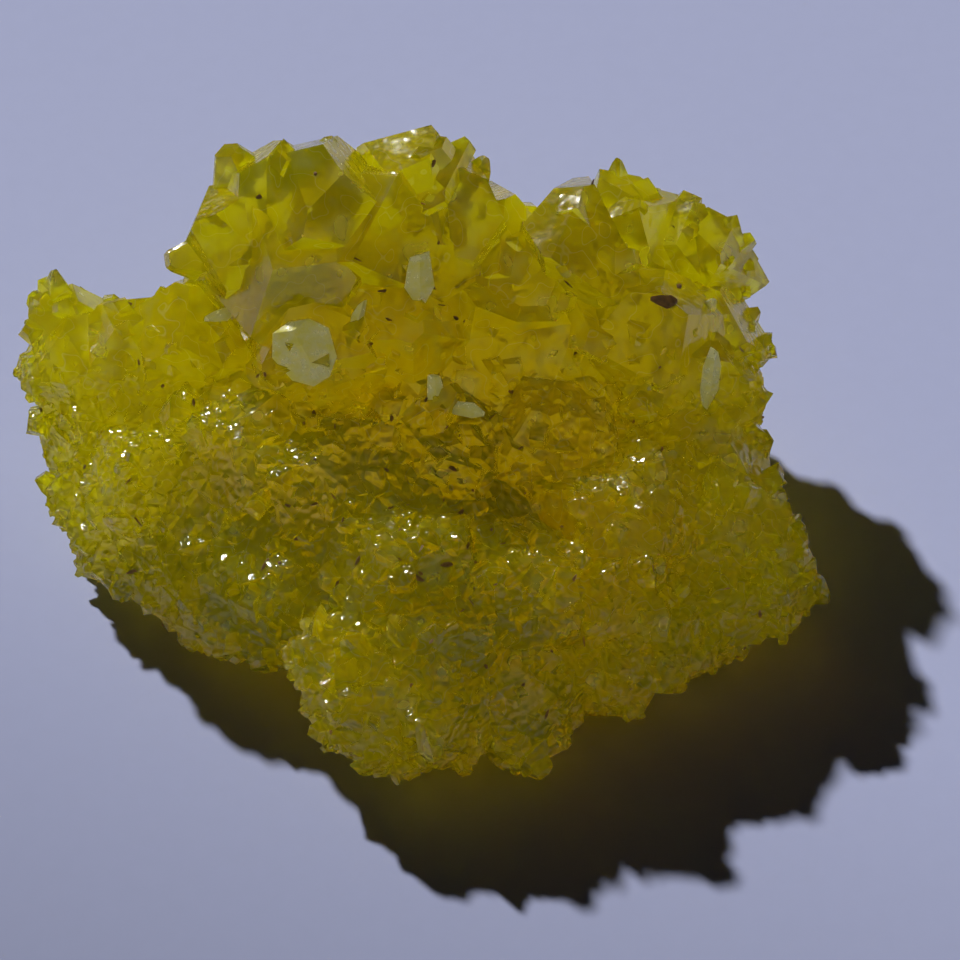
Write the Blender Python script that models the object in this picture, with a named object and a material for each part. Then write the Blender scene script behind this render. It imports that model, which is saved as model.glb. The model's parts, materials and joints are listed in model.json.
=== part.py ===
"""A cluster of native sulfur crystals, grown together as one solid, lying on its flat broken foot.

The body is a pile of faceted lumps, one for each of its main forms. Large crystals stand on the lumps
where the cluster has them, and smaller ones are sown over the whole surface by rule. Every crystal is an
orthorhombic dipyramid cut by its own crystal planes. A Boolean joins them all, and a level cut makes the
foot. Lengths below are in millimetres, +X to the right, +Y to the back and +Z up.
"""

import math

import bmesh
import bpy
import numpy as np
from mathutils import Euler, Matrix, Vector

MM = 0.001

SULFUR_COLOR = (0.62, 0.55, 0.03, 1.0)

# The axes of a sulfur crystal, as shares of its b axis.
AXIS_A, AXIS_B, AXIS_C = 0.813, 1.0, 1.903

# The main forms: middle, half sizes, turn about the vertical in degrees, and how many faces.
LUMPS = {
    "core": ((-0.5, 0.0, 4.0), (12.4, 9.6, 5.2), 0, 30),
    "core_back": ((1.0, 8.0, 7.0), (13.0, 6.0, 6.5), 0, 30),
    "spike_foot": ((-17.5, 8.5, 8.5), (2.2, 2.2, 3.6), 20, 12),
    "arm_tip": ((-17.0, 7.0, 8.0), (2.6, 2.8, 4.2), 10, 16),
    "arm": ((-14.5, 7.0, 8.5), (3.8, 3.2, 4.4), 30, 14),
    "arm_neck": ((-11.5, 7.2, 9.5), (3.4, 3.2, 4.6), 0, 16),
    "arm_low": ((-16.0, 5.2, 5.2), (2.7, 3.0, 3.8), 40, 16),
    "left_low": ((-15.8, 2.5, 3.6), (2.7, 2.7, 3.4), 0, 14),
    "skirt_a": ((-13.0, 1.5, 6.5), (4.2, 3.6, 3.4), 15, 18),
    "skirt_b": ((-14.6, 0.5, 2.5), (2.8, 2.4, 2.4), 50, 14),
    "skirt_c": ((-11.6, -1.8, 3.0), (3.2, 2.5, 3.1), 0, 16),
    "foot_a": ((-9.2, -3.1, 3.0), (3.6, 2.8, 2.8), 30, 14),
    "foot_b": ((-6.4, -3.6, 3.0), (3.4, 2.8, 3.2), 0, 14),
    "block_a": ((-9.2, 8.4, 16.2), (2.3, 2.6, 3.7), 20, 12),
    "block_b": ((-7.4, 9.4, 17.6), (2.3, 2.5, 3.4), 50, 12),
    "block_c": ((-5.2, 9.0, 18.0), (2.7, 3.0, 4.2), 10, 12),
    "block_d": ((-6.2, 7.4, 15.2), (3.6, 3.4, 4.0), 0, 12),
    "peak": ((0.0, 11.0, 16.8), (2.5, 2.4, 4.4), 30, 12),
    "peak_b": ((-1.8, 9.4, 16.0), (3.0, 3.2, 4.2), 0, 12),
    "peak_c": ((1.8, 10.6, 15.4), (2.0, 2.6, 4.4), 60, 12),
    "cavity": ((-5.2, 5.0, 12.5), (3.2, 3.2, 4.0), 0, 14),
    "neck": ((-1.2, 6.4, 12.6), (3.6, 3.6, 4.0), 40, 12),
    "ridge_a": ((3.8, 10.8, 12.6), (2.8, 3.2, 4.4), 20, 12),
    "ridge_b": ((5.4, 9.6, 12.0), (3.0, 3.4, 3.8), 70, 14),
    "block_e": ((7.9, 10.2, 14.0), (2.2, 2.6, 4.4), 10, 12),
    "block_f": ((11.0, 13.0, 11.1), (3.2, 2.6, 4.0), 40, 12),
    "block_g": ((13.0, 12.9, 10.0), (2.8, 2.6, 3.8), 0, 12),
    "behind": ((10.3, 13.8, 12.6), (1.8, 1.8, 2.6), 0, 10),
    "crystal_r": ((15.1, 12.2, 10.4), (1.7, 1.8, 3.2), 30, 10),
    "bulge": ((15.0, 10.0, 7.6), (2.5, 2.8, 3.6), 0, 14),
    "wall": ((14.0, 6.4, 7.4), (3.0, 3.6, 4.6), 10, 14),
    "wall_top": ((11.4, 7.4, 10.6), (3.2, 3.6, 3.8), 50, 14),
    "wall_low": ((14.2, 2.6, 5.6), (3.4, 3.6, 4.2), 0, 16),
    "lobe_a": ((15.8, -0.8, 4.8), (3.0, 3.2, 4.0), 20, 14),
    "lobe_b": ((17.4, -2.4, 3.6), (2.6, 2.4, 3.2), 45, 11),
    "lobe_c": ((15.2, -3.4, 2.8), (3.2, 2.6, 2.8), 0, 14),
    "ledge_a": ((12.6, -5.2, 2.6), (2.8, 2.6, 2.6), 30, 12),
    "ledge_b": ((9.0, -7.2, 2.8), (3.2, 2.7, 2.8), 10, 14),
    "ledge_c": ((5.4, -9.2, 3.0), (3.4, 3.0, 3.2), 50, 14),
    "front_a": ((1.0, -10.2, 3.6), (3.2, 3.2, 3.6), 0, 16),
    "front_b": ((-2.0, -10.6, 3.6), (2.8, 2.8, 3.2), 30, 14),
    "front_c": ((-0.8, -11.3, 2.6), (2.2, 2.2, 2.4), 60, 12),
    "front_d": ((-2.9, -9.2, 4.4), (2.6, 3.0, 3.0), 0, 14),
    "mid_a": ((-8.2, 1.8, 8.4), (4.2, 3.8, 3.8), 30, 16),
    "mid_b": ((-3.8, -0.8, 8.6), (4.2, 3.8, 3.6), 0, 16),
    "mid_c": ((0.8, 1.8, 8.6), (4.0, 3.8, 3.4), 40, 16),
    "mid_d": ((7.0, 2.4, 8.0), (4.2, 4.0, 3.6), 0, 16),
    "mid_e": ((10.2, -1.2, 6.8), (4.2, 4.0, 3.6), 60, 16),
    "mid_f": ((-0.8, -4.8, 7.2), (4.0, 3.6, 3.6), 20, 16),
    "mid_g": ((4.6, -5.6, 6.0), (4.0, 3.8, 3.6), 0, 16),
    "mid_h": ((-6.0, -3.2, 5.4), (3.8, 3.4, 3.4), 50, 16),
    "mid_i": ((9.2, -5.0, 4.8), (3.8, 3.4, 3.2), 0, 16),
    "mid_j": ((-10.0, -0.4, 6.2), (3.2, 3.0, 3.2), 10, 16),
    "mid_k": ((0.8, -8.0, 5.2), (3.4, 3.4, 3.4), 30, 14),
    "mid_l": ((-8.4, -2.6, 5.2), (2.2, 2.0, 2.2), 20, 14),
    "mid_m": ((-5.2, -2.4, 7.4), (2.2, 2.0, 2.2), 0, 12),
    "mid_n": ((-10.6, -1.6, 5.0), (2.2, 2.0, 2.4), 50, 12),
    "mid_o": ((-6.6, -0.4, 9.4), (2.4, 2.2, 2.0), 10, 12),
    "back_a": ((-12.0, 9.2, 6.0), (4.0, 3.2, 4.4), 0, 16),
    "back_b": ((-6.6, 11.0, 9.0), (4.2, 3.0, 5.6), 20, 16),
    "back_c": ((-0.6, 12.2, 9.0), (4.2, 2.6, 5.4), 0, 16),
    "back_d": ((5.2, 12.4, 7.4), (4.0, 2.6, 5.0), 40, 16),
    "back_e": ((11.0, 12.6, 6.4), (4.0, 2.6, 4.4), 0, 18),
}


# The large crystals: middle, the way the c axis points, half size along b, tip and shoulder shares, spin.
CRYSTALS = {
    "spike": ((-18.3, 9.2, 12.3), (-0.1, 0.1, 1.0), 0.95, 0.95, 0.8, 20),
    "bead": ((-19.0, 8.9, 11.6), (-0.5, 0.0, 1.0), 0.75, 0.45, 0.6, 0),
    "arm_crystal": ((-15.2, 7.6, 12.0), (0.3, -0.3, 1.0), 1.3, 0.5, 0.7, 30),
    "arm_end": ((-19.2, 6.6, 9.0), (-1.0, -0.2, 0.4), 1.4, 0.5, 0.7, 60),
    "block_edge": ((-11.0, 7.4, 16.6), (-0.9, -0.3, 0.2), 1.5, 0.55, 0.7, 10),
    "block_top_a": ((-8.9, 10.4, 19.4), (-0.4, 0.2, 1.0), 1.6, 0.5, 0.75, 45),
    "block_top_b": ((-4.6, 10.6, 19.8), (0.2, 0.4, 1.0), 1.3, 0.65, 0.75, 15),
    "block_face": ((-5.6, 7.0, 16.6), (0.3, -1.0, 0.7), 2.3, 0.35, 0.6, 0),
    "peak_slab": ((0.4, 10.3, 18.7), (0.75, 0.65, 0.35), 2.4, 0.75, 0.85, 70),
    "peak_side": ((2.4, 11.2, 17.4), (0.5, 0.3, 0.8), 1.5, 0.7, 0.8, 40),
    "cavity_left": ((-6.9, 4.6, 14.2), (-0.2, -0.5, 1.0), 1.5, 0.6, 0.75, 0),
    "chip": ((-5.0, 2.6, 14.6), (0.3, -0.7, 0.9), 1.4, 0.4, 0.6, 25),
    "cavity_right": ((-3.2, 4.0, 14.4), (0.5, -0.4, 0.9), 1.7, 0.55, 0.7, 50),
    "small_chip": ((0.2, 6.8, 16.0), (0.1, -0.6, 1.0), 0.8, 0.3, 0.6, 0),
    "ridge_blade": ((5.6, 12.2, 14.4), (0.9, -0.1, -0.35), 1.3, 0.9, 0.85, 10),
    "ridge_prism": ((4.4, 9.6, 15.2), (0.8, -0.3, 0.6), 1.2, 0.6, 0.8, 35),
    "block_e_top": ((8.0, 9.8, 17.0), (-0.3, -0.1, 1.0), 1.6, 0.45, 0.65, 20),
    "block_f_top": ((11.2, 13.8, 13.4), (0.3, 0.1, 1.0), 1.8, 0.4, 0.6, 60),
    "block_g_top": ((13.4, 13.8, 12.8), (0.4, 0.2, 1.0), 1.5, 0.45, 0.65, 0),
    "behind_tip": ((10.2, 15.0, 14.4), (0.0, 0.4, 1.0), 0.75, 0.8, 0.8, 0),
    "right_tip": ((15.9, 12.7, 12.0), (0.15, 0.1, 1.0), 1.35, 0.8, 0.8, 30),
    "bulge_face": ((15.5, 9.6, 8.6), (0.5, 0.0, 1.0), 1.6, 0.5, 0.7, 45),
    "dark_wedge": ((8.6, 6.4, 12.0), (0.2, -0.9, 0.6), 2.2, 0.5, 0.75, 15),
    "blade_a": ((12.6, 5.4, 11.0), (0.1, -0.5, 1.0), 1.4, 0.7, 0.8, 10),
    "blade_b": ((14.6, 4.6, 9.6), (0.0, -0.2, 1.0), 1.3, 0.85, 0.85, 50),
    "blade_c": ((11.2, 3.0, 10.4), (0.3, -0.6, 0.9), 1.3, 0.75, 0.8, 80),
    "lobe_block": ((16.4, -2.6, 5.4), (0.3, -0.6, 0.8), 1.6, 0.4, 0.6, 0),
    "lobe_end": ((18.6, -2.8, 3.6), (0.9, -0.3, 0.2), 1.3, 0.5, 0.7, 40),
    "ledge_tip": ((12.4, -8.0, 2.6), (0.5, -0.8, 0.1), 1.2, 0.6, 0.75, 15),
    "front_tip": ((-0.8, -12.8, 2.4), (-0.1, -1.0, 0.1), 1.2, 0.7, 0.8, 45),
    "front_bead": ((-3.2, -11.4, 3.8), (-0.6, -0.6, 0.5), 1.0, 0.5, 0.7, 0),
    "clear_prism": ((-11.6, 2.6, 10.0), (-0.3, -0.6, 0.8), 1.8, 0.55, 0.7, 25),
    "bowl_edge": ((1.0, 1.0, 12.2), (0.6, 0.3, 0.7), 1.5, 0.6, 0.75, 65),
}

# The sown crystals: how many tries, and their distance apart and half size along b, first where the
# cluster is coarse and then where it is fine. None grows near the foot or under an overhang.
SOWN_TRIES = 6000
SOWN_GAP_COARSE, SOWN_GAP_FINE = 5.4, 1.5
SOWN_COARSE, SOWN_FINE = 1.2, 1.0
SOWN_LOWEST = 1.2
SOWN_STEEPEST = -0.4

# Corners of the skin nearer together than this are one corner.
WELD = 0.001


def unit(vector):
    return Vector(vector).normalized()


def cut_solid(planes, reach):
    """A cube cut down by planes, each a unit normal and a distance from the middle."""
    bm = bmesh.new()
    bmesh.ops.create_cube(bm, size=2 * reach)
    for normal, distance in planes:
        geometry = bm.verts[:] + bm.edges[:] + bm.faces[:]
        cut = bmesh.ops.bisect_plane(
            bm, geom=geometry, dist=1e-7, plane_co=normal * distance, plane_no=normal, clear_outer=True
        )
        rim = [g for g in cut["geom_cut"] if isinstance(g, bmesh.types.BMEdge)]
        if len(rim) > 2:
            bmesh.ops.edgeloop_fill(bm, edges=rim)
    bmesh.ops.remove_doubles(bm, verts=bm.verts[:], dist=1e-3)
    corners = [v.co.copy() for v in bm.verts]
    bm.clear()
    for corner in corners:
        bm.verts.new(corner)
    bmesh.ops.convex_hull(bm, input=bm.verts[:])
    loose = [v for v in bm.verts if not v.link_faces]
    bmesh.ops.delete(bm, geom=loose, context="VERTS")
    flat = math.radians(0.5)
    bmesh.ops.dissolve_limit(bm, angle_limit=flat, verts=bm.verts[:], edges=bm.edges[:])
    bmesh.ops.recalc_face_normals(bm, faces=bm.faces[:])
    return bm


def spiral_directions(count):
    """Directions spread evenly over a sphere by the golden angle."""
    index = np.arange(count) + 0.5
    height = 1 - 2 * index / count
    turn = index * math.pi * (3 - math.sqrt(5))
    flat = np.sqrt(1 - height**2)
    return np.stack([flat * np.cos(turn), flat * np.sin(turn), height], axis=1)


def lump_planes(rng, half, turn, faces):
    """The planes of a faceted ellipsoid: each touches the ellipsoid, moved in or out a little."""
    planes = []
    tumble = Euler(rng.uniform(0, 6.28, 3)).to_matrix()
    upright = Matrix.Rotation(math.radians(turn), 3, "Z")
    for direction in spiral_directions(faces):
        normal = unit(tumble @ Vector(direction + rng.normal(0, 0.13, 3)))
        touch = math.sqrt(sum((normal[k] * half[k]) ** 2 for k in range(3)))
        planes.append((upright @ normal, touch * rng.uniform(0.88, 1.0)))
    return planes


def crystal_planes(rng, size, tip, shoulder, jitter, plain):
    """The planes of a sulfur dipyramid whose b half axis is size. A plain one has no blunter pyramid.

    tip is where the flat ends cut the c axis and shoulder where the blunter pyramid would meet it, both
    as shares of the sharp pyramid's height.
    """
    height = AXIS_C * size
    planes = []

    def add(h, k, l, along_c):
        normal = Vector((h / AXIS_A, k / AXIS_B, l / AXIS_C))
        face = normal.normalized()
        distance = abs(face.z) * along_c if l else size * face.length
        planes.append((face, distance * rng.uniform(1 - jitter, 1 + jitter)))

    for x in (-1, 1):
        for y in (-1, 1):
            for z in (-1, 1):
                add(x, y, z, height)
                if not plain:
                    add(x, y, 3 * z, shoulder * height)
    for z in (-1, 1):
        add(0, 0, z, tip * height)
        for y in (-1, 1):
            if not plain:
                add(0, y, z, 0.93 * height)
    return planes


def crystal(rng, place, direction, size, tip=0.55, shoulder=0.75, spin=0.0, plain=False):
    """One crystal with its middle at place and its c axis along direction."""
    bm = cut_solid(crystal_planes(rng, size, tip, shoulder, 0.1, plain), 3 * size)
    upright = Vector(direction).to_track_quat("Z", "Y").to_matrix().to_4x4()
    bm.transform(Matrix.Translation(place) @ upright @ Matrix.Rotation(math.radians(spin), 4, "Z"))
    return bm


def depth_inside(point, middle, planes):
    """How deep a point lies under the nearest face of a solid; negative when it is outside."""
    offset = point - middle
    return min(distance - normal.dot(offset) for normal, distance in planes)


def coarseness(point):
    """1 on the high back of the cluster, where the crystals are large, and 0 on its fine front."""
    return min(1.0, max(0.0, (point.y * 0.12 + point.z * 0.10 - 1.0) / 1.2))


def sow(rng, solids):
    """Places on the open skin of the solids, each with the outward direction there."""
    places = []
    names = list(solids)
    for _ in range(SOWN_TRIES):
        name = names[int(rng.integers(len(names)))]
        middle, planes = solids[name]
        ray = unit(rng.normal(0, 1, 3))
        reach, normal = min((d / n.dot(ray), n) for n, d in planes if n.dot(ray) > 0.05)
        point = middle + ray * reach
        gap = SOWN_GAP_FINE + (SOWN_GAP_COARSE - SOWN_GAP_FINE) * coarseness(point)
        if point.z < SOWN_LOWEST or normal.z < SOWN_STEEPEST:
            continue
        if any((point - other).length < gap for other, _ in places):
            continue
        if any(depth_inside(point, *solids[other]) > 0.15 for other in names if other != name):
            continue
        places.append((point, normal))
    return places


def add_object(name, bm, collection):
    mesh = bpy.data.meshes.new(name)
    bm.transform(Matrix.Scale(MM, 4))
    bm.to_mesh(mesh)
    bm.free()
    obj = bpy.data.objects.new(name, mesh)
    collection.objects.link(obj)
    return obj


def joined(body, makers, operation):
    """The mesh of a body after a Boolean with everything in a collection."""
    step = body.modifiers.new("join", "BOOLEAN")
    step.operation = operation
    step.solver = "EXACT"
    step.operand_type = "COLLECTION"
    step.collection = makers
    shown = body.evaluated_get(bpy.context.evaluated_depsgraph_get())
    mesh = bpy.data.meshes.new_from_object(shown)
    body.modifiers.remove(step)
    return mesh


def bodies(bm):
    """The faces of each separate skin, smallest first."""
    found = []
    left = set(bm.faces)
    while left:
        edge_faces = [left.pop()]
        body = []
        while edge_faces:
            face = edge_faces.pop()
            body.append(face)
            for edge in face.edges:
                fresh = [other for other in edge.link_faces if other in left]
                left.difference_update(fresh)
                edge_faces.extend(fresh)
        found.append(body)
    return sorted(found, key=len)


def finish(core):
    """Keeps the outer skin only, in triangles, with the middle of its box over the origin."""
    bm = bmesh.new()
    bm.from_mesh(core.data)
    bmesh.ops.remove_doubles(bm, verts=bm.verts[:], dist=WELD * MM)
    bmesh.ops.triangulate(bm, faces=bm.faces[:])
    for pocket in bodies(bm)[:-1]:
        bmesh.ops.delete(bm, geom=pocket, context="FACES")
    corners = np.array([v.co for v in bm.verts])
    low, high = corners.min(axis=0), corners.max(axis=0)
    shift = -np.array([(low[0] + high[0]) / 2, (low[1] + high[1]) / 2, low[2]])
    bmesh.ops.translate(bm, verts=bm.verts[:], vec=Vector(shift))
    bm.to_mesh(core.data)
    bm.free()


def sulfur():
    material = bpy.data.materials.new("sulfur")
    material.use_nodes = True
    surface = material.node_tree.nodes["Principled BSDF"]
    surface.inputs["Base Color"].default_value = SULFUR_COLOR
    surface.inputs["Roughness"].default_value = 0.25
    surface.inputs["Metallic"].default_value = 0.0
    material.diffuse_color = SULFUR_COLOR
    return material


def main():
    for obj in list(bpy.data.objects):
        bpy.data.objects.remove(obj)
    rng = np.random.default_rng(7)
    scene = bpy.context.scene
    makers = bpy.data.collections.new("makers")
    scene.collection.children.link(makers)
    solids = {}
    for name, (middle, half, turn, faces) in LUMPS.items():
        planes = lump_planes(rng, half, turn, faces)
        solids[name] = (Vector(middle), planes)
        bm = cut_solid(planes, 2 * max(half))
        bm.transform(Matrix.Translation(middle))
        add_object(name, bm, makers)
    for name, (middle, direction, size, tip, shoulder, spin) in CRYSTALS.items():
        add_object(name, crystal(rng, middle, direction, size, tip, shoulder, spin), makers)
    places = sow(rng, solids)
    for index, (point, normal) in enumerate(places):
        lean = unit(normal + Vector(rng.normal(0, 0.45, 3)))
        share = coarseness(point)
        size = (SOWN_FINE + (SOWN_COARSE - SOWN_FINE) * share) * rng.uniform(0.7, 1.3)
        tip = rng.uniform(0.3, 0.6)
        bm = crystal(rng, point - normal * size * 0.55, lean, size, tip, 0.75, rng.uniform(0, 360), True)
        add_object(f"sown_{index}", bm, makers)

    core = makers.objects["core"]
    makers.objects.unlink(core)
    scene.collection.objects.link(core)
    core.data = joined(core, makers, "UNION")
    feet = bpy.data.collections.new("feet")
    scene.collection.children.link(feet)
    bm = bmesh.new()
    bmesh.ops.create_cube(bm, size=80)
    bm.transform(Matrix.Translation((0, 0, -40)))
    add_object("ground", bm, feet)
    core.data = joined(core, feet, "DIFFERENCE")
    finish(core)
    core.name = "sulfur_cluster"
    core.data.name = "sulfur_cluster"
    core.data.materials.clear()
    core.data.materials.append(sulfur())
    for holder in (makers, feet):
        for helper in list(holder.objects):
            bpy.data.objects.remove(helper)


main()
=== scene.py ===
"""Dresses a cluster of native sulfur crystals: a fine skin of small crystals grown over the large ones, the
glassy yellow mineral they are made of, and a plain stage to show them on.

Lengths are in metres, +X to the right, +Y to the back and +Z up.
"""

import json
import math

import bpy
import numpy as np
from bpy.props import (
    FloatProperty,
    FloatVectorProperty,
    IntProperty,
    PointerProperty,
)
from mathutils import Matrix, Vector
from mathutils.kdtree import KDTree

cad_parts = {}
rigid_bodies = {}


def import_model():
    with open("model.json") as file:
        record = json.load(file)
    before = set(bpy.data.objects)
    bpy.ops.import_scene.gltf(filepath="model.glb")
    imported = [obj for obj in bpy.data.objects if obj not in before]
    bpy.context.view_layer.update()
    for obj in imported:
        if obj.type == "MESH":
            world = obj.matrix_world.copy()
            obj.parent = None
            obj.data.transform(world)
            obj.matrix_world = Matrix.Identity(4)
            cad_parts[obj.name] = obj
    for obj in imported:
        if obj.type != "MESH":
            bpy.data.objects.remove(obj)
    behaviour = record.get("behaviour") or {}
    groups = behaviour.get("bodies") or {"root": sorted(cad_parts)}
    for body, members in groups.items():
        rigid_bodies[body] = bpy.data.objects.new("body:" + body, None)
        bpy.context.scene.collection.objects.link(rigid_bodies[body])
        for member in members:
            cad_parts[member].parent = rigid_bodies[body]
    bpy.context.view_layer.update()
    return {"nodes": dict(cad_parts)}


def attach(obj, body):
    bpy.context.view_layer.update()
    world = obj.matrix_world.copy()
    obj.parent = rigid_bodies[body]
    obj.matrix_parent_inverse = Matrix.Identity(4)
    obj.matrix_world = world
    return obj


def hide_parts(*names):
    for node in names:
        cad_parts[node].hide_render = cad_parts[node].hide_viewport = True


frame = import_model()

bl_info = {
    "name": "Sulfur Crystal Cluster",
    "version": (1, 0, 0),
    "blender": (4, 5, 0),
    "location": "3D View > Sidebar > Sulfur",
    "description": "Grows small crystals over a sulfur cluster and sets it on a plain stage",
    "category": "Object",
}

MM = 0.001
NODE = "sulfur_cluster"

# A small crystal is four rings of four corners: the share of its half height at which each ring lies, and
# the ring's share of its half width.
RING_HEIGHT = np.array([-1.0, -0.42, 0.42, 1.0])
RING_WIDTH = np.array([0.5, 1.0, 1.0, 0.5])
STUCK_RING_WIDTH = np.array([0.3, 0.8, 1.0, 0.5])
CORNERS = 4

# The nearly clear chips: middle, the way each stands, the way it faces, and half sizes, in millimetres.
CHIPS = {
    "cavity_chip": ((-5.3, 0.9, 15.3), (-0.45, 0.45, 0.75), (0.1, -0.8, 0.6), (1.6, 0.6, 1.9)),
    "cavity_sliver": ((-3.0, 2.6, 15.6), (0.3, 0.5, 0.8), (0.3, -0.8, 0.6), (0.3, 0.25, 0.9)),
    "cream_chip": ((0.2, 4.7, 16.8), (0.0, 0.6, 0.8), (0.2, -0.8, 0.6), (0.8, 0.4, 0.8)),
    "wall_column": ((14.8, 3.0, 11.2), (0.1, 0.4, 1.0), (0.2, -1.0, 0.3), (0.5, 0.4, 2.0)),
    "neck_chip": ((-9.8, 4.4, 14.4), (1.0, 0.2, 0.1), (0.0, -0.6, 0.8), (0.3, 0.15, 0.6)),
    "bowl_chip": ((1.0, 0.2, 13.4), (-0.1, 0.6, 0.8), (0.1, -0.7, 0.7), (0.5, 0.3, 1.0)),
    "bowl_flake": ((2.4, -0.4, 12.8), (1.0, -0.3, 0.1), (0.0, -0.7, 0.7), (0.4, 0.3, 1.1)),
}

# The skin turns from fine to coarse towards the back and upwards: by this much in depth, by this much in
# height, and less this share.
COARSE_DEPTH = 30.0 * MM
COARSE_HEIGHT = 14.0 * MM
COARSE_START = 0.85

# Where the dark grains gather and how far they spread, the lowest place of one, how far one stands out of
# the skin, and the one larger brown grain, in millimetres.
GRAIN_MIDDLE = (1.5, -3.0, 11.0)
GRAIN_SPREAD = 7.0
GRAIN_LOWEST = 0.5
GRAIN_STANDS_OUT = 0.05
BROWN_GRAIN = ((12.4, 5.2, 14.6), (1.0, 0.1, -0.4), (0.0, -0.8, 0.6), (0.36, 0.2, 0.5))

# How much light the mineral bends, passes and takes up on its way (per metre), how deep the rest scatters,
# and how much light the chips pass.
REFRACTION = 1.6
CLEARNESS = 0.82
ABSORPTION = 800.0
SCATTER_DEPTH = 0.01
SCATTER_RADIUS = (1.0, 0.95, 0.02)
CHIP_CLEARNESS = 0.4

# Painted glow: the middle of the cluster is painted amber, standing in for the deeper glow of light through
# its thick parts. This is that middle, and how far from it the yellow has turned to lemon.
AMBER_GLOW_MIDDLE = (1.5 * MM, -4.0 * MM, 10.5 * MM)
AMBER_GLOW_REACH = 22.0 * MM

# The ripples of the skin are lower on the smooth high back: the slope of that share along X, Y and Z, and
# the height of the ripples elsewhere.
CALM_SLOPE = (0.0, 33.0, 71.0)
RIPPLE_HEIGHT = 0.28 * MM

# Painted shade on the floor, standing in for the light falling off: it grows dimmer to the front and the
# left. These are the slope of its brightness and how dim it gets.
FLOOR_SHADE_SLOPE = (8.75, 25.0, 0.0)
FLOOR_PAINTED_SHADE = 0.62

# How often light turns inside the mineral before it is let go.
LIGHT_BOUNCES = 6


# ---------------------------------------------------------------- meshes


def mesh_object(name, corners, faces):
    mesh = bpy.data.meshes.new(name)
    mesh.from_pydata(corners, [], faces)
    mesh.update()
    obj = bpy.data.objects.new(name, mesh)
    bpy.context.scene.collection.objects.link(obj)
    return obj


def mesh_arrays(mesh):
    """The corners of a mesh and the corner numbers of its triangles, as arrays."""
    mesh.calc_loop_triangles()
    corners = np.empty(len(mesh.vertices) * 3)
    mesh.vertices.foreach_get("co", corners)
    triangles = np.empty(len(mesh.loop_triangles) * 3, np.int64)
    mesh.loop_triangles.foreach_get("vertices", triangles)
    return corners.reshape(-1, 3), triangles.reshape(-1, 3)


def merged(mesh, name):
    """An object with the mesh's loose triangles joined: corners that agree to a tenth of a micron are one."""
    corners, triangles = mesh_arrays(mesh)
    _, first, same = np.unique(np.round(corners / 1e-7), axis=0, return_index=True, return_inverse=True)
    triangles = same.reshape(-1)[triangles]
    a, b, c = triangles.T
    whole = (a != b) & (b != c) & (c != a)
    return mesh_object(name, corners[first], triangles[whole].tolist())


def largest_body(corners, triangles):
    """The triangles of the largest connected body: each corner takes the lowest number it is joined to."""
    label = np.arange(len(corners))
    while True:
        low = label[triangles].min(axis=1)
        fresh = label.copy()
        for k in range(3):
            np.minimum.at(fresh, triangles[:, k], low)
        fresh = fresh[fresh]
        if (fresh == label).all():
            break
        label = fresh
    names, counts = np.unique(label[triangles[:, 0]], return_counts=True)
    return triangles[label[triangles[:, 0]] == names[counts.argmax()]]


# ---------------------------------------------------------------- small crystals


def coarseness(points):
    """1 on the high back of the cluster, where the crystals are large and bare, and 0 on its fine front."""
    share = points[:, 1] / COARSE_DEPTH + points[:, 2] / COARSE_HEIGHT - COARSE_START
    return np.clip(share, 0.0, 1.0)


def seed_points(rng, corners, triangles, tries):
    """Random points on the skin, spread by area, and the outward direction at each."""
    a, b, c = corners[triangles[:, 0]], corners[triangles[:, 1]], corners[triangles[:, 2]]
    cross = np.cross(b - a, c - a)
    area = np.linalg.norm(cross, axis=1)
    pick = rng.choice(len(triangles), tries, p=area / area.sum())
    along = np.sqrt(rng.random(tries))[:, None]
    across = rng.random(tries)[:, None]
    points = (1 - along) * a[pick] + along * (1 - across) * b[pick] + along * across * c[pick]
    return points, cross[pick] / area[pick][:, None]


def spread(points, gaps):
    """Which points to keep, so that none lies nearer to a kept one than its gap."""
    tree = KDTree(len(points))
    for index, point in enumerate(points):
        tree.insert(point, index)
    tree.balance()
    kept = np.zeros(len(points), bool)
    for index, point in enumerate(points):
        near = tree.find_range(point, gaps[index])
        kept[index] = not any(kept[other] for _, other, _ in near)
    return kept


def turned_frames(rng, directions, spin):
    """For each direction, three axes at right angles: the third along it, the first two spun about it."""
    third = directions / np.linalg.norm(directions, axis=1)[:, None]
    side = np.cross(third, rng.normal(size=third.shape))
    first = side / np.linalg.norm(side, axis=1)[:, None]
    second = np.cross(third, first)
    cos, sin = np.cos(spin)[:, None], np.sin(spin)[:, None]
    return np.stack([cos * first + sin * second, cos * second - sin * first, third], axis=1)


def crystal_corners(rng, centres, frames, sizes, ring_widths=RING_WIDTH):
    """Corners of every crystal, as (crystal, ring, corner, xyz). A size is one number, or one for each axis.

    A corner lies at (width x ring width x cos, width x ring width x sin, height x ring height) in the
    crystal's own axes, where the angle goes round by quarter turns and the width differs along the two
    diagonals. The two end rings lean and shift a little, which makes the ends oblique.
    """
    count = len(centres)
    angle = np.arange(CORNERS) * 2 * math.pi / CORNERS
    narrow = rng.uniform(0.6, 0.95, count)
    wide = np.stack([np.ones(count), narrow, np.ones(count), narrow], axis=1)
    tall = rng.uniform(0.8, 1.5, count)
    ring_width = ring_widths * rng.uniform(0.75, 1.25, (count, 4))
    ring_height = RING_HEIGHT * rng.uniform(0.85, 1.1, (count, 4))
    radius = ring_width[:, :, None] * wide[:, None, :]
    x = radius * np.cos(angle)
    y = radius * np.sin(angle)
    lean = rng.uniform(-0.3, 0.3, (count, 4, 2)) * np.array([1.0, 0.0, 0.0, 1.0])[None, :, None]
    z = ring_height[:, :, None] + lean[:, :, 0:1] * x + lean[:, :, 1:2] * y
    local = np.stack([x, y, z * tall[:, None, None]], axis=-1) * sizes.reshape(count, 1, 1, -1)
    return np.einsum("nrck,nkj->nrcj", local, frames) + centres[:, None, None, :]


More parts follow.
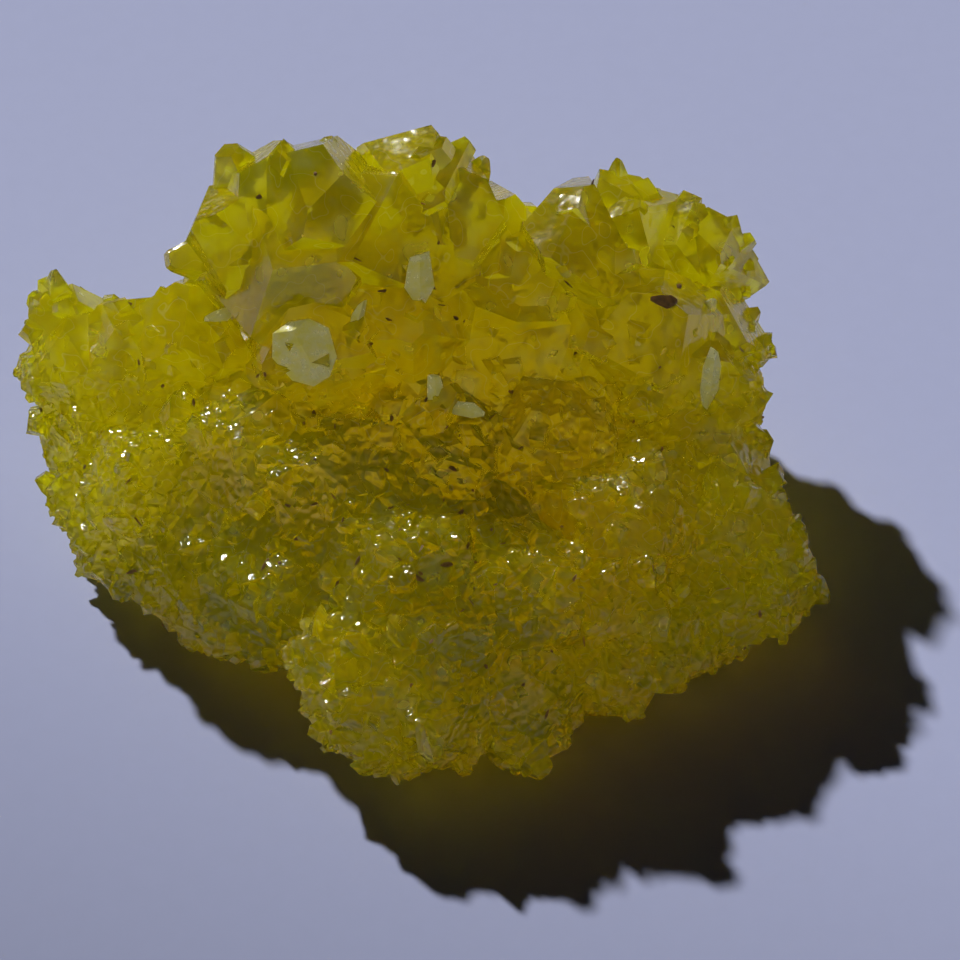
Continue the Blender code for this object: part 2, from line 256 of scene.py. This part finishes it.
def crystal_faces(count):
    """Faces of that many crystals: three bands of four, a bottom and a top, all facing outwards."""
    rings = len(RING_HEIGHT)
    ring, corner = np.meshgrid(np.arange(rings - 1), np.arange(CORNERS), indexing="ij")
    here = ring * CORNERS + corner
    beside = ring * CORNERS + (corner + 1) % CORNERS
    bands = np.stack([here, beside, beside + CORNERS, here + CORNERS], axis=-1).reshape(-1, 4)
    bottom = np.arange(CORNERS)[::-1]
    top = np.arange(CORNERS) + (rings - 1) * CORNERS
    one = np.vstack([bands, bottom, top])
    offsets = np.arange(count) * rings * CORNERS
    return (one[None] + offsets[:, None, None]).reshape(-1, 4)


def parted(points, reaches):
    """A group number for each crystal, so that no two in one group can touch."""
    tree = KDTree(len(points))
    for index, point in enumerate(points):
        tree.insert(point, index)
    tree.balance()
    group = np.full(len(points), -1)
    far = reaches.max()
    for index, point in enumerate(points):
        taken = {
            group[other]
            for _, other, distance in tree.find_range(point, reaches[index] + far)
            if distance < reaches[index] + reaches[other]
        }
        group[index] = next(number for number in range(len(points)) if number not in taken)
    return group


def grow_crystals(body, sizes):
    """Joins small crystals to a closed body and returns the joined corners and triangles."""
    rng = np.random.default_rng(sizes.seed)
    corners, triangles = mesh_arrays(body.data)
    points, normals = seed_points(rng, corners, triangles, sizes.tries)
    share = coarseness(points)
    small = sizes.fine + (sizes.coarse - sizes.fine) * share
    gaps = small * (sizes.spacing + sizes.bareness * share)
    size = small * (0.6 + 1.5 * rng.random(len(points)) ** 3)
    clear = points[:, 2] > 2.0 * size
    points, normals, gaps, size = points[clear], normals[clear], gaps[clear], size[clear]
    kept = spread(points, gaps)
    points, normals, size = points[kept], normals[kept], size[kept]
    lean = normals + rng.normal(0, 0.8, normals.shape)
    frames = turned_frames(rng, lean, rng.uniform(0, math.pi, len(points)))
    centres = points - normals * (size * rng.uniform(0.3, 0.85, len(points)))[:, None]
    grown = crystal_corners(rng, centres, frames, size)
    reach = np.linalg.norm(grown - centres[:, None, None, :], axis=-1).max(axis=(1, 2))
    group = parted(centres, reach)
    makers = bpy.data.collections.new("makers")
    bpy.context.scene.collection.children.link(makers)
    for number in range(group.max() + 1):
        chosen = grown[group == number]
        obj = mesh_object(f"grains_{number}", chosen.reshape(-1, 3), crystal_faces(len(chosen)).tolist())
        makers.objects.link(obj)
        bpy.context.scene.collection.objects.unlink(obj)
    step = body.modifiers.new("join", "BOOLEAN")
    step.operation = "UNION"
    step.solver = "MANIFOLD"
    step.operand_type = "COLLECTION"
    step.collection = makers
    shown = body.evaluated_get(bpy.context.evaluated_depsgraph_get())
    joined = bpy.data.meshes.new_from_object(shown)
    result = mesh_arrays(joined)
    body.modifiers.remove(step)
    bpy.data.meshes.remove(joined)
    for helper in list(makers.objects):
        bpy.data.objects.remove(helper)
    bpy.data.collections.remove(makers)
    return result


def upright_frames(along, facing):
    """For each crystal, its axes: the third points along it and the second towards where it faces."""
    third = along / np.linalg.norm(along, axis=1)[:, None]
    side = np.cross(facing, third)
    first = side / np.linalg.norm(side, axis=1)[:, None]
    return np.stack([first, np.cross(third, first), third], axis=1)


def stuck_crystals(name, rng, centres, frames, sizes):
    """One object of loose small crystals, each half sunk in the skin."""
    corners = crystal_corners(rng, centres, frames, sizes, STUCK_RING_WIDTH)
    return mesh_object(name, corners.reshape(-1, 3), crystal_faces(len(centres)).tolist())


# ---------------------------------------------------------------- materials


class Nodes:
    """A material's nodes, made and joined in few words."""

    def __init__(self, name):
        self.material = bpy.data.materials.new(name)
        self.material.use_nodes = True
        self.tree = self.material.node_tree
        self.surface = self.tree.nodes["Principled BSDF"]
        self.output = self.tree.nodes["Material Output"]

    def add(self, kind, inputs=None, **settings):
        node = self.tree.nodes.new(kind)
        for name, value in settings.items():
            setattr(node, name, value)
        for name, value in (inputs or {}).items():
            self.put(node.inputs[name], value)
        return node

    def put(self, socket, value):
        if isinstance(value, bpy.types.NodeSocket):
            self.tree.links.new(value, socket)
        else:
            socket.default_value = value

    def ramp(self, value, stops):
        """A blend of colours or greys over a value: stops are (place, colour)."""
        node = self.add("ShaderNodeValToRGB", {"Fac": value})
        marks = node.color_ramp.elements
        while len(marks) < len(stops):
            marks.new(0.5)
        for mark, (place, color) in zip(marks, stops):
            mark.position = place
            mark.color = color if hasattr(color, "__len__") else (color, color, color, 1)
        return node.outputs["Color"]

    def mix(self, share, first, second, blend="MIX"):
        node = self.add("ShaderNodeMix", data_type="RGBA", blend_type=blend)
        self.put(node.inputs["Factor"], share)
        self.put(node.inputs["A"], first)
        self.put(node.inputs["B"], second)
        return node.outputs["Result"]


def rgba(color):
    return (*color, 1.0)


def sulfur_material(colors):
    """Glassy yellow mineral that scatters light, with a painted amber glow in the middle and rippled in its
    fine parts.
    """
    n = Nodes("sulfur")
    where = n.add("ShaderNodeTexCoord").outputs["Object"]
    patch = n.add("ShaderNodeTexNoise", {"Vector": where, "Scale": 620.0, "Detail": 1.0, "Roughness": 0.7})
    fine = n.add("ShaderNodeTexNoise", {"Vector": where, "Scale": 2600.0, "Detail": 0.0})

    # Painted glow: amber is painted round the middle, standing in for light glowing deeper through the thick
    # parts.
    away = n.add("ShaderNodeVectorMath", {0: where, 1: AMBER_GLOW_MIDDLE}, operation="DISTANCE").outputs["Value"]
    amber_glow_share = n.add("ShaderNodeMath", {0: away, 1: AMBER_GLOW_REACH}, operation="DIVIDE")
    tone = n.ramp(amber_glow_share.outputs["Value"], [(0.3, rgba(colors.amber_glow)), (0.65, rgba(colors.lemon))])
    pale = n.ramp(patch.outputs["Fac"], [(0.52, 0.0), (0.68, 0.6)])
    tone = n.mix(pale, tone, rgba(colors.pale))
    crack = n.ramp(patch.outputs["Fac"], [(0.44, 0.0), (0.452, 0.7), (0.464, 0.0)])
    tone = n.mix(crack, tone, rgba(colors.crack))
    rough = n.ramp(patch.outputs["Fac"], [(0.3, 0.08), (0.55, 0.14), (0.75, 0.32)])
    high = n.add("ShaderNodeVectorMath", {0: where, 1: CALM_SLOPE}, operation="DOT_PRODUCT")
    calm = n.ramp(high.outputs["Value"], [(0.8, 1.0), (0.95, 0.15)])
    swell = n.add("ShaderNodeMath", {0: fine.outputs["Fac"], 1: calm}, operation="MULTIPLY")
    ripple = n.add(
        "ShaderNodeBump", {"Strength": 0.8, "Distance": RIPPLE_HEIGHT, "Height": swell.outputs["Value"]}
    )
    surface = n.surface.inputs
    n.put(surface["Base Color"], tone)
    n.put(surface["Roughness"], rough)
    n.put(surface["Normal"], ripple.outputs["Normal"])
    surface["IOR"].default_value = REFRACTION
    surface["Transmission Weight"].default_value = CLEARNESS
    surface["Subsurface Weight"].default_value = 1.0
    n.surface.subsurface_method = "BURLEY"
    surface["Subsurface Radius"].default_value = SCATTER_RADIUS
    surface["Subsurface Scale"].default_value = SCATTER_DEPTH
    depth = n.add("ShaderNodeVolumeAbsorption")
    depth.inputs["Color"].default_value = rgba(colors.depth)
    depth.inputs["Density"].default_value = ABSORPTION
    n.put(n.output.inputs["Volume"], depth.outputs["Volume"])
    return n.material


def chip_material(colors):
    """Nearly clear crystal with a frosted skin."""
    n = Nodes("clear chip")
    where = n.add("ShaderNodeTexCoord").outputs["Object"]
    frost = n.add("ShaderNodeTexNoise", {"Vector": where, "Scale": 1500.0, "Detail": 3.0, "Roughness": 0.65})
    surface = n.surface.inputs
    tone = n.ramp(frost.outputs["Fac"], [(0.35, rgba(colors.straw)), (0.65, rgba(colors.chip))])
    n.put(surface["Base Color"], tone)
    n.put(surface["Roughness"], n.ramp(frost.outputs["Fac"], [(0.4, 0.06), (0.7, 0.4)]))
    bump = n.add("ShaderNodeBump", {"Strength": 0.5, "Distance": 0.0001, "Height": frost.outputs["Fac"]})
    n.put(surface["Normal"], bump.outputs["Normal"])
    surface["IOR"].default_value = REFRACTION
    surface["Transmission Weight"].default_value = CHIP_CLEARNESS
    return n.material


def grain_material(colors):
    """Dull dark grains."""
    n = Nodes("dark grain")
    where = n.add("ShaderNodeTexCoord").outputs["Object"]
    tooth = n.add("ShaderNodeTexNoise", {"Vector": where, "Scale": 4000.0, "Detail": 1.0})
    tone = n.mix(tooth.outputs["Fac"], rgba(colors.speck), rgba(colors.rust))
    n.put(n.surface.inputs["Base Color"], tone)
    n.surface.inputs["Roughness"].default_value = 0.6
    return n.material


def floor_material(stage):
    n = Nodes("paper")
    where = n.add("ShaderNodeTexCoord").outputs["Object"]
    tooth = n.add("ShaderNodeTexNoise", {"Vector": where, "Scale": 900.0, "Detail": 4.0})
    shade = tuple(0.96 * value for value in stage.floor_color)
    paper = n.mix(tooth.outputs["Fac"], rgba(shade), rgba(stage.floor_color))
    # Painted shade: the paper darkens towards the front and the left, standing in for the light falling off.
    across = n.add("ShaderNodeVectorMath", {0: where, 1: FLOOR_SHADE_SLOPE}, operation="DOT_PRODUCT")
    falloff = n.add("ShaderNodeMath", {0: across.outputs["Value"], 1: 1.0}, operation="ADD")
    painted_shade = n.ramp(falloff.outputs["Value"], [(0.0, FLOOR_PAINTED_SHADE), (1.0, 1.0)])
    n.put(n.surface.inputs["Base Color"], n.mix(1.0, paper, painted_shade, "MULTIPLY"))
    n.surface.inputs["Roughness"].default_value = 0.9
    n.surface.inputs["Specular IOR Level"].default_value = 0.2
    return n.material


# ---------------------------------------------------------------- settings


class ClusterSettings(bpy.types.PropertyGroup):
    """Sizes of the small crystals."""

    seed: IntProperty(name="Seed", description="Draws another growth of small crystals", default=11)
    tries: IntProperty(name="Tries", description="Seed points tried over the skin", default=60000, min=0)
    fine: FloatProperty(
        name="Fine",
        description="Half width of a crystal on the fine front",
        default=0.42 * MM,
        unit="LENGTH",
    )
    coarse: FloatProperty(
        name="Coarse",
        description="Half width of a crystal on the coarse back",
        default=0.7 * MM,
        unit="LENGTH",
    )
    spacing: FloatProperty(
        name="Spacing", description="Distance between neighbours, in half widths", default=1.25, min=0.5
    )
    bareness: FloatProperty(
        name="Bareness",
        description="How much further apart they stand on the high back",
        default=7.0,
        min=0.0,
    )
    grains: IntProperty(name="Grains", description="Dark grains stuck in the skin", default=170, min=0)


class ColorSettings(bpy.types.PropertyGroup):
    """Colours of the mineral."""

    # Painted glow: this amber stands in for the deeper glow of light through the thick middle.
    amber_glow: FloatVectorProperty(
        name="Amber",
        description="Deep yellow of the thick parts",
        subtype="COLOR",
        default=(0.95, 0.79, 0.003),
    )
    lemon: FloatVectorProperty(
        name="Lemon",
        description="Clear yellow of most of it",
        subtype="COLOR",
        default=(0.83, 0.785, 0.006),
    )
    pale: FloatVectorProperty(
        name="Pale",
        description="Greenish grey of powdery patches",
        subtype="COLOR",
        default=(0.80, 0.80, 0.11),
    )
    crack: FloatVectorProperty(
        name="Crack", description="Thin flaws inside", subtype="COLOR", default=(0.93, 0.91, 0.30)
    )
    speck: FloatVectorProperty(
        name="Speck", description="Dark grains in the mineral", subtype="COLOR", default=(0.03, 0.02, 0.006)
    )
    rust: FloatVectorProperty(
        name="Rust", description="Browner parts of the grains", subtype="COLOR", default=(0.22, 0.10, 0.01)
    )
    chip: FloatVectorProperty(
        name="Chip",
        description="Frosted skin of the clear chips",
        subtype="COLOR",
        default=(0.97, 0.93, 0.42),
    )
    straw: FloatVectorProperty(
        name="Straw", description="Clearer parts of the chips", subtype="COLOR", default=(0.95, 0.87, 0.16)
    )
    depth: FloatVectorProperty(
        name="Depth",
        description="What a ray keeps inside the mineral",
        subtype="COLOR",
        default=(0.985, 0.955, 0.02),
    )


class StageSettings(bpy.types.PropertyGroup):
    """Floor, light and camera."""

    floor_size: FloatProperty(name="Floor", description="Side of the floor", default=3.0, unit="LENGTH")
    floor_color: FloatVectorProperty(
        name="Floor Color", description="Pale paper", subtype="COLOR", default=(0.56, 0.60, 0.88)
    )
    sun_strength: FloatProperty(name="Sun", description="Strength of the main light", default=3.3, min=0.0)
    sun_size: FloatProperty(
        name="Sun Size", description="How soft the shadows are", default=math.radians(2.5), subtype="ANGLE"
    )
    sun_direction: FloatVectorProperty(
        name="Sun Direction",
        description="The way the main light travels",
        subtype="DIRECTION",
        default=(0.82, -1.11, -1.0),
    )
    fill_strength: FloatProperty(
        name="Fill", description="Strength of the soft light on the cluster alone", default=0.98, min=0.0
    )
    fill_size: FloatProperty(
        name="Fill Size",
        description="How wide the soft light is",
        default=math.radians(120),
        subtype="ANGLE",
    )
    fill_direction: FloatVectorProperty(
        name="Fill Direction",
        description="The way the soft light on the cluster travels",
        subtype="DIRECTION",
        default=(0.1, 0.8, -1.0),
    )
    sky_strength: FloatProperty(name="Sky", description="Strength of the soft light", default=0.011, min=0.0)
    sky_color: FloatVectorProperty(
        name="Sky Color", description="Colour of the soft light", subtype="COLOR", default=(0.92, 0.95, 1.0)
    )
    look_at: FloatVectorProperty(
        name="Look At", description="Middle of the view", subtype="XYZ", default=(0.0032, -0.0018, 0.009)
    )
    elevation: FloatProperty(
        name="Elevation", description="Camera above the horizon", default=math.radians(50), subtype="ANGLE"
    )
    distance: FloatProperty(name="Distance", description="Camera to middle", default=0.22, unit="LENGTH")
    width: FloatProperty(name="Width", description="Width of the view there", default=0.048, unit="LENGTH")


# ---------------------------------------------------------------- operators


class SULFUR_OT_cluster(bpy.types.Operator):
    """Grow the fine skin of crystals over the cluster"""

    bl_idname = "sulfur.cluster"
    bl_label = "Grow Crystals"

    def execute(self, context):
        body = merged(frame["nodes"][NODE].data, "core")
        corners, triangles = grow_crystals(body, context.scene.sulfur_cluster)
        bpy.data.objects.remove(body)
        triangles = largest_body(corners, triangles)
        used, compact = np.unique(triangles, return_inverse=True)
        piece = mesh_object("sulfur_crystals", corners[used], compact.reshape(-1, 3).tolist())
        piece.data.materials.append(sulfur_material(context.scene.sulfur_colors))
        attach(piece, "root")
        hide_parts(NODE)
        return {"FINISHED"}


class SULFUR_OT_chips(bpy.types.Operator):
    """Set the nearly clear chips on the cluster"""

    bl_idname = "sulfur.chips"
    bl_label = "Set Clear Chips"

    def execute(self, context):
        rng = np.random.default_rng(context.scene.sulfur_cluster.seed + 1)
        middle, along, facing, half = (np.array(part) for part in zip(*CHIPS.values()))
        frames = upright_frames(along.astype(float), facing.astype(float))
        piece = stuck_crystals("clear_chips", rng, middle * MM, frames, half * MM)
        piece.data.materials.append(chip_material(context.scene.sulfur_colors))
        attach(piece, "root")
        return {"FINISHED"}


class SULFUR_OT_grains(bpy.types.Operator):
    """Scatter dark grains over the skin, most of them round the middle of the front"""

    bl_idname = "sulfur.grains"
    bl_label = "Scatter Dark Grains"

    def execute(self, context):
        sizes = context.scene.sulfur_cluster
        rng = np.random.default_rng(sizes.seed + 2)
        corners, triangles = mesh_arrays(bpy.data.objects["sulfur_crystals"].data)
        points, normals = seed_points(rng, corners, triangles, 8 * sizes.grains)
        away = np.linalg.norm((points - np.array(GRAIN_MIDDLE) * MM) / (GRAIN_SPREAD * MM), axis=1)
        kept = rng.random(len(points)) < 0.12 + 0.5 * np.exp(-(away**2))
        kept &= points[:, 2] > GRAIN_LOWEST * MM
        points, normals = points[kept][: sizes.grains], normals[kept][: sizes.grains]
        points = points + GRAIN_STANDS_OUT * MM * normals
        width = rng.uniform(0.07, 0.14, len(points)) * MM
        half = np.stack([width, width * 0.7, width * rng.uniform(0.8, 2.6, len(points))], axis=1)
        frames = turned_frames(rng, rng.normal(size=points.shape), rng.uniform(0, math.pi, len(points)))
        middle, along, facing, brown = (np.array([part], float) for part in BROWN_GRAIN)
        points = np.vstack([points, middle * MM])
        frames = np.vstack([frames, upright_frames(along, facing)])
        piece = stuck_crystals("dark_grains", rng, points, frames, np.vstack([half, brown * MM]))
        piece.data.materials.append(grain_material(context.scene.sulfur_colors))
        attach(piece, "root")
        return {"FINISHED"}


class SULFUR_OT_stage(bpy.types.Operator):
    """Lay the floor and set the light and the camera"""

    bl_idname = "sulfur.stage"
    bl_label = "Set Stage"

    def execute(self, context):
        stage = context.scene.sulfur_stage
        half = stage.floor_size / 2
        floor = mesh_object(
            "floor", [(-half, -half, 0), (half, -half, 0), (half, half, 0), (-half, half, 0)], [(0, 1, 2, 3)]
        )
        floor.data.materials.append(floor_material(stage))

        lamp = bpy.data.lights.new("sun", "SUN")
        lamp.energy = stage.sun_strength
        lamp.angle = stage.sun_size
        sun = bpy.data.objects.new("sun", lamp)
        context.scene.collection.objects.link(sun)
        sun.rotation_euler = Vector(stage.sun_direction).to_track_quat("-Z", "Y").to_euler()

        glow = bpy.data.lights.new("fill", "SUN")
        glow.energy = stage.fill_strength
        glow.angle = stage.fill_size
        fill = bpy.data.objects.new("fill", glow)
        context.scene.collection.objects.link(fill)
        fill.rotation_euler = Vector(stage.fill_direction).to_track_quat("-Z", "Y").to_euler()
        fill.visible_glossy = False
        lit = bpy.data.collections.new("lit by the fill")
        for name in ("sulfur_crystals", "clear_chips", "dark_grains"):
            lit.objects.link(bpy.data.objects[name])
        fill.light_linking.receiver_collection = lit

        world = bpy.data.worlds.new("sky")
        world.use_nodes = True
        background = world.node_tree.nodes["Background"]
        background.inputs["Color"].default_value = rgba(stage.sky_color)
        background.inputs["Strength"].default_value = stage.sky_strength
        context.scene.world = world
        context.scene.view_settings.view_transform = "Standard"
        context.scene.cycles.max_bounces = LIGHT_BOUNCES
        context.scene.cycles.use_light_tree = False

        lens = bpy.data.cameras.new("camera")
        lens.lens = lens.sensor_width * stage.distance / stage.width
        lens.clip_start = 0.01
        camera = bpy.data.objects.new("camera", lens)
        context.scene.collection.objects.link(camera)
        back = Vector((0, -math.cos(stage.elevation), math.sin(stage.elevation)))
        camera.location = Vector(stage.look_at) + back * stage.distance
        camera.rotation_euler = (-back).to_track_quat("-Z", "Y").to_euler()
        context.scene.camera = camera
        return {"FINISHED"}


class SULFUR_PT_panel(bpy.types.Panel):
    """Lists the settings and the steps"""

    bl_label = "Sulfur Cluster"
    bl_idname = "SULFUR_PT_panel"
    bl_space_type = "VIEW_3D"
    bl_region_type = "UI"
    bl_category = "Sulfur"

    def draw(self, context):
        layout = self.layout
        steps = {
            "sulfur_cluster": (SULFUR_OT_cluster, SULFUR_OT_chips, SULFUR_OT_grains),
            "sulfur_colors": (),
            "sulfur_stage": (SULFUR_OT_stage,),
        }
        for group, buttons in steps.items():
            settings = getattr(context.scene, group)
            for name in type(settings).__annotations__:
                layout.prop(settings, name)
            for step in buttons:
                layout.operator(step.bl_idname)


CLASSES = (
    ClusterSettings,
    ColorSettings,
    StageSettings,
    SULFUR_OT_cluster,
    SULFUR_OT_chips,
    SULFUR_OT_grains,
    SULFUR_OT_stage,
    SULFUR_PT_panel,
)


def register():
    for cls in CLASSES:
        bpy.utils.register_class(cls)
    bpy.types.Scene.sulfur_cluster = PointerProperty(type=ClusterSettings)
    bpy.types.Scene.sulfur_colors = PointerProperty(type=ColorSettings)
    bpy.types.Scene.sulfur_stage = PointerProperty(type=StageSettings)


def unregister():
    del bpy.types.Scene.sulfur_stage
    del bpy.types.Scene.sulfur_colors
    del bpy.types.Scene.sulfur_cluster
    for cls in reversed(CLASSES):
        bpy.utils.unregister_class(cls)


def main():
    register()
    bpy.ops.sulfur.cluster()
    bpy.ops.sulfur.chips()
    bpy.ops.sulfur.grains()
    bpy.ops.sulfur.stage()


if __name__ == "__main__":
    main()
